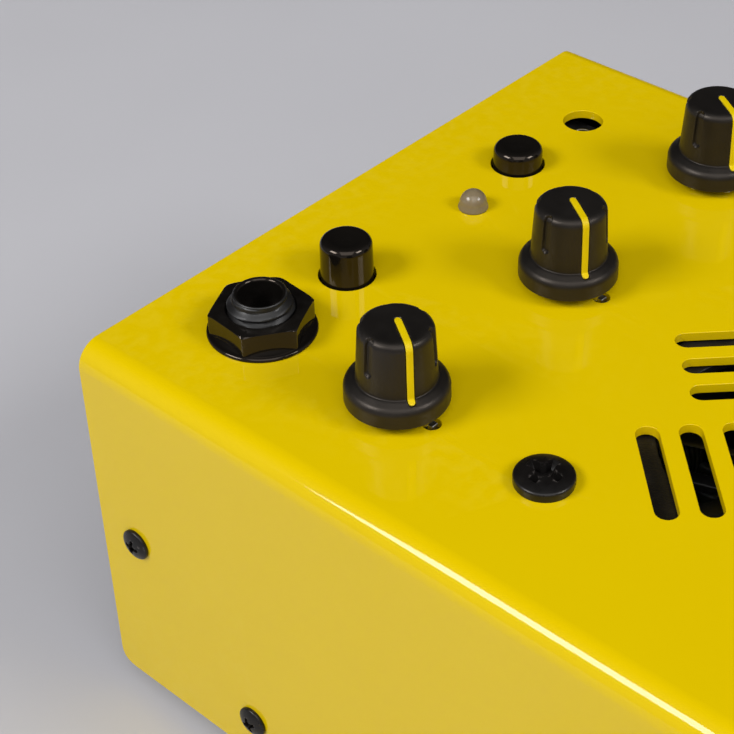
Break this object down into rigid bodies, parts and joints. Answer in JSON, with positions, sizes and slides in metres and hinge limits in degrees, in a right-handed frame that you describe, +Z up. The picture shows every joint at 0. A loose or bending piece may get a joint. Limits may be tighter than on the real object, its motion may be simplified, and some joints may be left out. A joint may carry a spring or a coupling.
{
  "type": "guitar amplifier head",
  "caption": "Pedal-sized guitar amplifier head in a folded sheet cover with knobs, push buttons, a jack and a slotted vent on top and sockets on the rear wall.",
  "frame": {"origin": "on the ground at the middle of the footprint, rear sockets included", "axes": "+Z up, +X to the player's right, +Y from the player to the rear wall"},
  "size_m": [0.1194, 0.1836, 0.0831],
  "materials": {
    "yellow_paint": "smooth gloss powder coat",
    "black_paint": "fine-textured matt powder coat",
    "black_screw": "black zinc, semi-gloss",
    "gloss_black": "polished moulded plastic",
    "satin_black": "satin moulded plastic",
    "knob_black": "fine spark-eroded satin plastic",
    "pointer_yellow": "satin moulded inlay",
    "led_lens": "milky clear epoxy, unlit",
    "rubber": "matt moulded rubber",
    "plated_steel": "nickel plated",
    "aluminium": "bare, extruded",
    "circuit_board": "green solder mask",
    "ferrite": "ferrite core with taped winding",
    "capacitor_sleeve": "shrink sleeve",
    "ribbon": "flat ribbon insulation",
    "cable": "soft lead insulation"
  },
  "bodies": {
    "chassis": {"top_cover": "yellow_paint", "base_pan": "black_paint", "foot_front_left": "rubber", "foot_front_right": "rubber", "foot_rear_left": "rubber", "foot_rear_right": "rubber", "module_screw_1": "black_screw", "module_screw_2": "black_screw", "module_screw_3": "black_screw", "module_screw_4": "black_screw", "side_screw_left_front_1": "black_screw", "side_screw_left_front_2": "black_screw", "side_screw_left_rear_1": "black_screw", "side_screw_left_rear_2": "black_screw", "side_screw_right_front_1": "black_screw", "side_screw_right_front_2": "black_screw", "side_screw_right_rear_1": "black_screw", "side_screw_right_rear_2": "black_screw", "input_jack_body": "satin_black", "input_jack_nut": "gloss_black", "speaker_jack_body": "satin_black", "speaker_jack_nut": "gloss_black", "line_out_jack_body": "satin_black", "line_out_jack_nut": "gloss_black", "button_switch_1": "satin_black", "button_switch_2": "satin_black", "status_led": "led_lens", "aux_socket": "satin_black", "pot_body_1": "plated_steel", "pot_nut_1": "plated_steel", "pot_body_2": "plated_steel", "pot_nut_2": "plated_steel", "pot_body_3": "plated_steel", "pot_nut_3": "plated_steel", "mains_inlet": "satin_black", "power_switch_body": "satin_black", "control_board": "circuit_board", "amp_board": "circuit_board", "heat_sink": "aluminium", "transformer": "ferrite", "reservoir_capacitor": "capacitor_sleeve", "fan_bracket": "black_paint", "fan_frame": "satin_black", "ribbon_cable": "ribbon", "mains_lead": "cable", "speaker_lead": "cable", "fan_lead": "cable"},
    "knob_1": {"knob_1": "knob_black", "knob_pointer_1": "pointer_yellow", "pot_shaft_1": "aluminium"},
    "knob_2": {"knob_2": "knob_black", "knob_pointer_2": "pointer_yellow", "pot_shaft_2": "aluminium"},
    "knob_3": {"knob_3": "knob_black", "knob_pointer_3": "pointer_yellow", "pot_shaft_3": "aluminium"},
    "button_1": {"button_cap_1": "gloss_black"},
    "button_2": {"button_cap_2": "gloss_black"},
    "rocker": {"power_rocker": "gloss_black"},
    "fan_rotor": {"fan_rotor": "satin_black"}
  },
  "joints": [
    {"name": "knob_1_turn", "type": "hinge", "parent": "chassis", "child": "knob_1", "pos_m": [-0.0377, 0.04505, 0.069], "axis": [0, 0, -1], "range_deg": [0, 300]},
    {"name": "knob_2_turn", "type": "hinge", "parent": "chassis", "child": "knob_2", "pos_m": [0, 0.04505, 0.069], "axis": [0, 0, -1], "range_deg": [0, 300]},
    {"name": "knob_3_turn", "type": "hinge", "parent": "chassis", "child": "knob_3", "pos_m": [0.0377, 0.04505, 0.069], "axis": [0, 0, -1], "range_deg": [0, 300]},
    {"name": "button_1_press", "type": "slide", "parent": "chassis", "child": "button_1", "axis": [0, 0, -1], "range_m": [0, 0.0035], "stiffness_N_per_m": 300, "springref_m": -0.002},
    {"name": "button_2_release", "type": "slide", "parent": "chassis", "child": "button_2", "axis": [0, 0, 1], "range_m": [-0.0005, 0.003], "stiffness_N_per_m": 300},
    {"name": "rocker_tilt", "type": "hinge", "parent": "chassis", "child": "rocker", "pos_m": [-0.006, 0.0862, 0.024], "axis": [-1, 0, 0], "range_deg": [0, 20]},
    {"name": "fan_spin", "type": "hinge", "parent": "chassis", "child": "fan_rotor", "pos_m": [-0.0066, -0.001, 0.0614], "axis": [0, 0, 1], "continuous": true}
  ]
}
